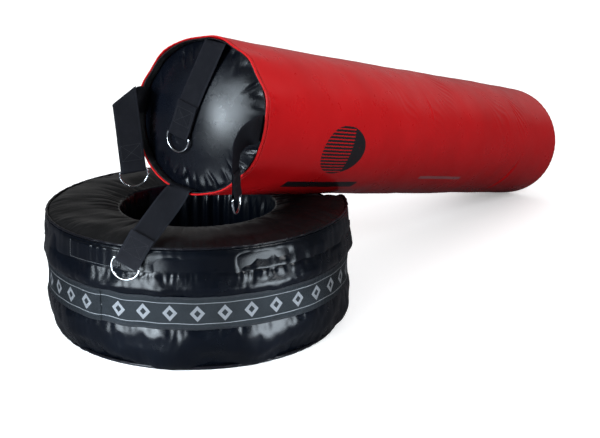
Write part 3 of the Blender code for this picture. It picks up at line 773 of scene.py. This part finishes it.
def build_mouth():
    """The bound lip, the dark facing inside it, and the stitches through both."""
    turn = np.radians(np.arange(0, 360, 22.5))[:, None]
    lip_r = BAG_R - 0.0014 + 0.0022 * np.cos(turn)
    lip_z = 0.0050 + 0.0050 * np.sin(turn)
    lip_r = lip_r + sleeve_radius(BAG_ANGLES, lip_z) + 0.00008 * ripple(BAG_ANGLES, 50, 100, 71)
    lip = surface("bag_lip", bag_grid(lip_r, BAG_ANGLES, lip_z), MATS["hem"])
    ride_as(lip, "bag", ["bag_hem"])
    heights = np.linspace(0.0025, 0.0265, 9)
    depth = np.concatenate([heights, heights[::-1]])[:, None]
    r = np.repeat([BAG_R - 0.0040, BAG_R - 0.0054], len(heights))[:, None]
    r = r + np.minimum(sleeve_radius(BAG_ANGLES, 0.0), 0.0)
    facing = surface("bag_lining", bag_grid(r, BAG_ANGLES, depth), MATS["facing"])
    ride_as(facing, "bag", ["bag_mouth_facing"])
    lines = [bag_grid(BAG_R + lift + sleeve_radius(BAG_ANGLES, depth), BAG_ANGLES, depth)
             for lift, depth in ((0.0002, MOUTH_SEAM), (0.0001, FOOT_SEAM))]
    threads = stitches("bag_stitches", lines, 0.0048, 0.00045, MATS["red_thread"], closed=True)
    ride_as(threads, "bag", [])


def cap_shape(radius, angle):
    """How far behind the rim plane the cap's face lies: a stuffed dome gathered all round its edge."""
    base = CAP_EDGE - CAP_RISE * (1 - (radius / CAP_R) ** 2)
    rng = np.random.default_rng(81)
    folds = np.zeros(np.broadcast(radius, angle).shape)
    count = 40
    for k in range(count):
        at = (k + rng.uniform(-0.35, 0.35)) * 2 * pi / count
        width, depth = radians(rng.uniform(1.6, 3.2)), rng.uniform(0.35, 1.0)
        depth *= 0.25 + 0.75 * sum(bump(at, *place) for place in CAP_GATHERS)
        inner = rng.uniform(0.100, 0.135)
        lean = rng.normal() * 2.2
        turned = (angle - at - lean * (CAP_R - radius) + pi) % (2 * pi) - pi
        folds = folds + depth * np.exp(-(turned / width) ** 2) * smooth(radius, inner, 0.156)
    puffs = ripple(angle, 14, 30, 82) * smooth(radius, 0.11, 0.160)
    place = bag_grid(radius, angle, 0.0)
    soft = lumps(place, 0.11, 83) * 0.0004 * (1 - smooth(radius, 0.13, 0.17))
    tucked = 1 - smooth(radius, 0.138, CAP_R)
    return base + (0.0066 * folds - 0.0007 * puffs) * tucked + soft


def build_cap():
    """The domed cap as one closed form, gathered where it meets the facing."""
    angles = np.arange(720) * 2 * pi / 720
    radii = np.concatenate([[0.0], np.linspace(0.006, 0.10, 20), np.linspace(0.103, CAP_R - 0.0015, 30)])
    face = cap_shape(radii[:, None], angles)
    deepest, soft = CAP_EDGE - 0.0004, 0.0016
    face = np.minimum(face, deepest) + soft * np.tanh(np.maximum(face - deepest, 0) / soft)
    back_r = radii[::-6]
    depth = np.vstack([face, np.full((len(back_r), len(angles)), CAP_BACK)])
    radius = np.concatenate([radii, back_r])[:, None]
    cap = surface("bag_cap", bag_grid(radius, angles, depth), MATS["cap"], weld=True)
    ride_as(cap, "bag", ["bag_top_cap"])


# ---- straps and D-rings: the CAD's own paths ----
def bag_point(radius, degrees, depth):
    return bag_grid(radius, radians(degrees), depth)


def rim_tangent(degrees):
    a = radians(degrees)
    return SIDE * cos(a) - UP * sin(a)


def facing(vector, way):
    """The vector, or its reverse where that is nearer to way."""
    return -vector if vector.dot(way) < 0 else vector


def sections_along(points, widths, way):
    """Left edge, right edge and normal of the webbing at each point of its path."""
    result = []
    for i, point in enumerate(points):
        tangent = unit(points[min(i + 1, len(points) - 1)] - points[max(i - 1, 0)])
        width = unit(widths[i] - tangent * widths[i].dot(tangent))
        normal = facing(unit(np.cross(tangent, width)), way)
        result.append((point - width * (WEB / 2), point + width * (WEB / 2), normal))
    return result


def loop_end(last, along, across, normal, side, back):
    """The webbing round a D-ring's bar and sewn back on itself, and the bar's middle."""
    layer = WEB_T + WEB_GAP
    reach = WIRE_R + WEB_GAP + WEB_T / 2
    middle = side * layer / 2
    path = [(0.008, -side * 0.0004), (0.014, -side * 0.0017), (0.0175, -side * 0.0024)]
    path += [(0.020 + reach * cos(a), middle - side * reach * sin(a))
             for a in np.radians((90, 60, 30, 0, -30, -60, -90))]
    path += [(0.0175, middle + side * 0.0039), (0.014, middle + side * 0.0031),
             (0.008, side * (layer + WEB_GAP)), (0.0, side * layer), (0.020 - back, side * layer)]
    sections = []
    for i, (u, v) in enumerate(path):
        before, after = path[max(i - 1, 0)], path[min(i + 1, len(path) - 1)]
        du, dv = (1.0, 0.0) if i == 0 else (after[0] - before[0], after[1] - before[1])
        size = sqrt(du * du + dv * dv)
        centre = last + along * u + normal * v
        out = normal * (du / size) - along * (dv / size)
        sections.append((centre - across * (WEB / 2), centre + across * (WEB / 2), out))
    return sections, last + along * 0.020 + normal * middle


def webbing(key, sections, blend_from, blend_to):
    """One length of webbing, from where it is sewn in the mouth to its end, bending where its path of
    sections folds; blend_from and blend_to are not used.
    """
    rows = np.array([np.concatenate([(l + r) / 2, (r - l) / 2, n]) for l, r, n in sections])
    rows = along_line(rows, 0.0045)
    centre, half, normal = rows[:, :3], rows[:, 3:6], rows[:, 6:]
    normal = normal / np.linalg.norm(normal, axis=1)[:, None]
    x = np.sin(np.linspace(-1, 1, 13) * pi / 2)
    thick = WEB_T / 2 * (0.30 + 0.70 * (1 - np.abs(x) ** 10)) * (1 + 0.10 * np.cos(x * pi * 2.5))
    front = centre[:, None] + half[:, None] * x[None, :, None] + normal[:, None] * thick[None, :, None]
    back = centre[:, None] + half[:, None] * x[None, ::-1, None] - normal[:, None] * thick[None, ::-1, None]
    points = np.concatenate([front, back], 1)
    u = np.concatenate([x, x[::-1]]) * WEB / 2
    uv = pairs(u, lengths_along(centre)[:, None])
    obj = surface("strap_%s_web" % key, points.transpose(1, 0, 2), MATS["web"],
                  wrap_cols=False, uv=uv.transpose(1, 0, 2))
    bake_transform(obj)
    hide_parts("strap_" + key, "strap_root_" + key)


def box_stitch(key, last, along, across, normal, side, length):
    """A sewn rectangle with crossed diagonals, through both layers by the D-ring."""
    face = normal * (WEB_T / 2 + 0.0003 + (WEB_T + WEB_GAP if side > 0 else 0.0))
    half = across * (WEB / 2 - 0.006)
    a, b = last + face - along * (length - 0.010), last + face - along * 0.004
    corners = [a - half, a + half, b + half, b - half]
    lines = [[corners[i], corners[(i + 1) % 4]] for i in range(4)]
    lines += [[corners[0], corners[2]], [corners[1], corners[3]]]
    threads = stitches("strap_%s_stitches" % key, lines, 0.0036, 0.00045, MATS["thread"])
    ride_as(threads, "strap_" + key, [])


def build_dee(key, bar, across, down):
    """The welded D-ring: a straight bar in the loop and a round bow, with the weld's thicker place."""
    a, leg = 0.0320, 0.0060
    path = [(-a + 0.003, 0.0), (0.0, 0.0), (a - 0.003, 0.0), (a - 0.0008, 0.0012), (a, 0.0035)]
    path += [(a * cos(pi * k / 20), leg + a * sin(pi * k / 20)) for k in range(21)]
    path += [(-a, 0.0035), (-a + 0.0008, 0.0012), (-a + 0.003, 0.0)]
    path = along_line([(u, v, 0.0) for u, v in path], 0.002)[:-1]
    tangent = np.roll(path, -1, 0) - np.roll(path, 1, 0)
    tangent /= np.linalg.norm(tangent, axis=1)[:, None]
    sideways = np.stack([tangent[:, 1], -tangent[:, 0]], 1)
    normal = np.cross(across, down)
    turn = np.arange(14) * 2 * pi / 14
    weld = 1 + 0.09 * np.exp(-(path[:, 0] / 0.0022) ** 2) * (path[:, 1] < 0.01)
    centre = bar + path[:, :1] * across + path[:, 1:2] * down
    side = sideways[:, :1] * across + sideways[:, 1:] * down
    ring = (side[:, None] * np.cos(turn)[None, :, None] + normal * np.sin(turn)[None, :, None])
    points = centre[:, None] + ring * (WIRE_R * weld)[:, None, None]
    obj = surface("dee_%s_wire" % key, points, MATS["steel"])
    ride_as(obj, "dee_" + key, ["dee_" + key])


def plumb(across):
    """Straight down, as near as a D-ring on this bar can hang."""
    return unit(DOWN - across * DOWN.dot(across))


def finish_strap(key, sections, last, axes, side, fold, down=None, back=0.075, sewn=0.050):
    """The loop round the D-ring, the webbing as one piece, the stitches through it, and the D-ring."""
    end, bar = loop_end(last, *axes, side, back)
    webbing(key, sections + end, *fold)
    box_stitch(key, last, *axes, side, sewn)
    across = axes[1]
    build_dee(key, bar, across, plumb(across) if down is None else down)


def build_top_strap():
    """It lies over the cap and follows its dome."""
    angle, lead = 6.0, radians(14.76)
    along = -SIDE * sin(lead) - UP * cos(lead)
    across = SIDE * cos(lead) - UP * sin(lead)
    root = NOSE + SIDE * 0.0165 + UP * 0.1570
    rise = CAP_RISE / CAP_R ** 2
    lift = WEB_T / 2 + WEB_T + 0.0022
    base = [(root - NOSE).dot(SIDE), (root - NOSE).dot(UP)]
    slope0 = -2 * rise * (along.dot(SIDE) * base[0] + along.dot(UP) * base[1])
    crest0 = CAP_RISE - CAP_EDGE + lift - rise * (base[0] ** 2 + base[1] ** 2)
    start = -0.0030
    touch = sqrt((start - crest0) / rise)

    def height(d):
        return start + (slope0 - 2 * rise * touch) * d if d < touch else crest0 + slope0 * d - rise * d * d

    fixed = [bag_point(SEWN_R, angle, 0.022), bag_point(SEWN_R, angle, 0.009),
             bag_point(SEWN_R - 0.0008, angle, 0.0050), bag_point(SEWN_R - 0.0020, angle, 0.0034)]
    inner = sections_along(fixed, [rim_tangent(angle)] * 3 + [rim_tangent(angle) + across], -UP)
    distances = [0.0, 0.010, 0.040, 0.080, 0.115, 0.135, 0.155, 0.175, 0.192]
    points = [root + along * d - AXIS * height(d) for d in distances]
    widths = [unit(across + AXIS * (2 * rise * (point - NOSE).dot(across))) for point in points]
    body = sections_along(points, widths, -AXIS)
    tangent = unit(points[-1] - points[-2])
    width = unit(widths[-1] - tangent * widths[-1].dot(tangent))
    normal = facing(np.cross(tangent, width), -AXIS)
    tilt = radians(5)
    finish_strap("top", inner + body, points[-1], (tangent, width, normal), 1, (root, root + along * 0.035),
                 down=unit(tangent * cos(tilt) - normal * sin(tilt)))


def build_left_strap():
    """It leaves the mouth sideways, folds over on a slant and hangs by the ring's hole."""
    along = unit(np.array([0.0816, 0.0266, -0.9963]))
    across = np.array([0.948, 0.309, 0.086])
    across = unit(across - along * across.dot(along))
    out = facing(np.cross(along, across), np.array([0.0, -1.0, 0.0]))
    head = np.array([-0.1370, -0.2575, 0.6335])
    right, left = head + across * (WEB / 2), head - across * (WEB / 2) + along * 0.034
    behind = -out * (WEB_T + 0.0007)
    low, high = -94.0, -73.5
    root = [(bag_point(SEWN_R + r, low, d), bag_point(SEWN_R + r, high, d))
            for r, d in ((0.002, 0.022), (0.002, 0.004), (0.003, -0.010))]
    for t in (0.35, 0.7, 1.0):
        root.append((root[2][0] * (1 - t) + (left + behind) * t, root[2][1] * (1 - t) + (right + behind) * t))
    sections = []
    for i, (a, b) in enumerate(root[:-1]):
        before, after = root[max(i - 1, 0)], root[i + 1]
        run = unit(after[0] + after[1] - before[0] - before[1])
        sections.append((a, b, facing(unit(np.cross(run, b - a)), -out)))
    turned, fold = behind + along * 0.002, -along * 0.0022 - out * (WEB_T / 2 + 0.0003)
    sections += [(left + turned, right + turned, -out), (left + fold, right + fold, -along),
                 (left, right, out)]
    for d in (0.042, 0.070, 0.100, 0.130, 0.150, 0.167):
        sections.append((head - across * (WEB / 2) + along * d, head + across * (WEB / 2) + along * d, out))
    middle = (left + right) / 2
    finish_strap("left", sections, head + along * 0.167, (along, across, out), -1,
                 (middle - out * 0.0160, middle - out * 0.0046))


def build_front_strap():
    """It falls from the mouth over the ring's near edge."""
    angle = -171.0
    tangent = -rim_tangent(angle)
    inside = [bag_point(SEWN_R, angle, 0.022), bag_point(SEWN_R, angle, 0.002),
              bag_point(SEWN_R + 0.0012, angle, -0.0045), bag_point(SEWN_R + 0.0040, angle, -0.0070)]
    inner = sections_along(inside, [tangent] * 4, -AXIS)
    root = bag_point(SEWN_R + 0.0072, angle, -0.0086)
    edge, foot = np.array([-0.1000, -0.3640, 0.3140]), np.array([-0.1190, -0.3690, 0.2840])
    fall = edge - root
    points = [root + fall * share for share in (0.0, 0.12, 0.3, 0.55, 0.8, 1.0)]
    points += [edge * 0.5 + foot * 0.5 + np.array([0, -0.0010, 0.0015]), foot]
    high, low = np.array([0.784, -0.18, -0.593]), np.array([0.934, -0.104, -0.343])
    widths = [tangent * 0.7 + high * 0.3, tangent * 0.4 + high * 0.6, high, high, high * 0.8 + low * 0.2,
              high * 0.5 + low * 0.5, high * 0.2 + low * 0.8, low]
    out = np.array([0.0, -1.0, 0.3])
    body = sections_along(points, widths, out)
    along = unit(points[-1] - points[-2])
    across = unit(low - along * low.dot(along))
    normal = facing(np.cross(along, across), out)
    finish_strap("front", inner + body, foot, (along, across, normal), 1, (root, root + unit(fall) * 0.03))


def build_right_strap():
    """It curls out of the mouth, turns edge on and hangs straight down."""
    angle = 93.0
    upright = -rim_tangent(angle)
    ahead = unit(np.array([-0.220, -0.975, 0.0]))
    points = [bag_point(SEWN_R, angle, 0.022), bag_point(SEWN_R, angle, 0.006),
              bag_point(SEWN_R - 0.003, angle, -0.006)]
    points += [np.array(p) for p in ((0.1600, -0.3870, 0.5715), (0.1440, -0.4000, 0.5640),
                                     (0.1280, -0.4050, 0.5480), (0.1180, -0.4060, 0.5230),
                                     (0.1150, -0.4060, 0.4985))]
    widths = [upright] * 3
    mid = np.array([-0.75, -0.66, 0.0])
    for turned in (0.12, 0.35, 0.62, 0.88, 1.0):
        towards = mid * (1 - turned) + ahead * turned
        widths.append(upright * cos(turned * pi / 2) + towards * sin(turned * pi / 2))
    inner = sections_along(points, widths, np.array([0.9, -0.2, 0.3]))
    hinge = points[-1] + np.array([0, 0, -0.0020])
    normal = np.cross(ahead, DOWN)
    lower = [hinge + DOWN * d for d in (0.012, 0.028, 0.045)]
    body = sections_along(lower, [ahead] * 3, normal)
    finish_strap("right", inner + body, lower[-1], (DOWN, ahead, normal), 1,
                 (hinge - DOWN * 0.015, hinge + DOWN * 0.015), down=DOWN, back=0.055, sewn=0.036)


# ---- stage, light and camera ----
def area_light(name, place, aim, size, radiance, colour=(0.80, 0.91, 1.0), grid=180, shape="RECTANGLE"):
    """A softbox, seen in reflections and not by the camera."""
    data = bpy.data.lights.new(name, "AREA")
    data.shape, data.size, data.size_y = shape, size[0], size[1]
    area = size[0] * size[1] * (pi / 4 if shape == "ELLIPSE" else 1)
    data.energy, data.color, data.spread = radiance * pi * area, colour, radians(grid)
    lamp = bpy.data.objects.new(name, data)
    lamp.location = place
    lamp.rotation_euler = (Vector(aim) - Vector(place)).to_track_quat("-Z", "Y").to_euler()
    lamp.visible_camera = False
    scene.collection.objects.link(lamp)


def build_floor():
    """A plain floor, white as seen and dark in reflections."""
    mesh = bpy.data.meshes.new("floor")
    s, z = 14.0, -0.0006
    mesh.from_pydata([(-s, -s, z), (s, -s, z), (s, s, z), (-s, s, z)], [], [(0, 1, 2, 3)])
    floor = bpy.data.objects.new("floor", mesh)
    scene.collection.objects.link(floor)
    pale = Paint("floor_pale", (0.92, 0.92, 0.92), 0.9, Specular_IOR_Level=0.1)
    seen = pale.add("LightPath", {}).outputs["Is Camera Ray"]
    pale.set("Base Color", pale.mix(seen, (0.11, 0.11, 0.12), (1.0, 1.0, 1.0)))
    pale.set("Emission Color", (1.0, 1.0, 1.0, 1.0))
    pale.set("Emission Strength", pale.times(seen, 0.30))
    mesh.materials.append(pale.mat)


def build_world():
    """An even white light: full as seen, SKY_GLOW on matt things and SKY_MIRRORED in reflections."""
    world = bpy.data.worlds.new("studio")
    world.use_nodes = True
    scene.world = world
    tree = world.node_tree
    background = tree.nodes["Background"]
    background.inputs["Color"].default_value = (1, 1, 1, 1)
    path = tree.nodes.new("ShaderNodeLightPath")
    steps = []
    for ray, wanted in (("Is Glossy Ray", SKY_MIRRORED), ("Is Camera Ray", 1.0)):
        step = tree.nodes.new("ShaderNodeMath")
        step.operation = "MULTIPLY_ADD"
        tree.links.new(path.outputs[ray], step.inputs[0])
        step.inputs[1].default_value = wanted - SKY_GLOW
        steps.append(step)
    steps[0].inputs[2].default_value = SKY_GLOW
    tree.links.new(steps[0].outputs[0], steps[1].inputs[2])
    tree.links.new(steps[1].outputs[0], background.inputs["Strength"])


def build_lights():
    """Two softboxes, a wide dim one far behind, two small round ones low by the ring, and a soft fill."""
    aim, white = (-0.1, -0.2, 0.35), (1.0, 1.0, 1.0)
    area_light("left_box", (-2.30, -2.75, 1.35), aim, (0.65, 1.4), 45)
    area_light("right_box", (1.50, -1.75, 1.55), aim, (0.40, 1.0), 26, colour=(0.93, 0.97, 1.0))
    area_light("back_box", (1.00, 7.60, 1.80), aim, (12.0, 3.0), 0.30, colour=white)
    low = {"grid": 100, "shape": "ELLIPSE"}
    area_light("left_strip", (-0.64, -1.03, 0.10), (-0.46, -0.79, 0.10), (0.30, 0.27), 5.6, **low)
    area_light("right_strip", (0.03, -0.88, 0.10), (-0.18, -0.75, 0.10), (0.20, 0.27), 4.8, **low)
    data = bpy.data.lights.new("sky", "SUN")
    data.energy, data.angle = 0.25, radians(60)
    sun = bpy.data.objects.new("sky", data)
    sun.rotation_euler = (radians(-12), radians(-14), 0.0)
    scene.collection.objects.link(sun)


def build_camera():
    data = bpy.data.cameras.new("camera")
    data.lens, data.sensor_width = 78.44, 36.0
    camera = bpy.data.objects.new("camera", data)
    camera.location = RING_AT + np.array([0.252, -3.0948, 1.1972])
    camera.rotation_euler = (radians(90 - 16.908), 0.0, 0.0)
    scene.collection.objects.link(camera)
    scene.camera = camera
    scene.view_settings.view_transform = "Standard"


build_floor()
build_world()
build_lights()
build_camera()
build_ring_cushion()
build_ring_trim()
build_tape()
build_flap()
build_sleeve()
build_mouth()
build_cap()
build_top_strap()
build_left_strap()
build_front_strap()
build_right_strap()
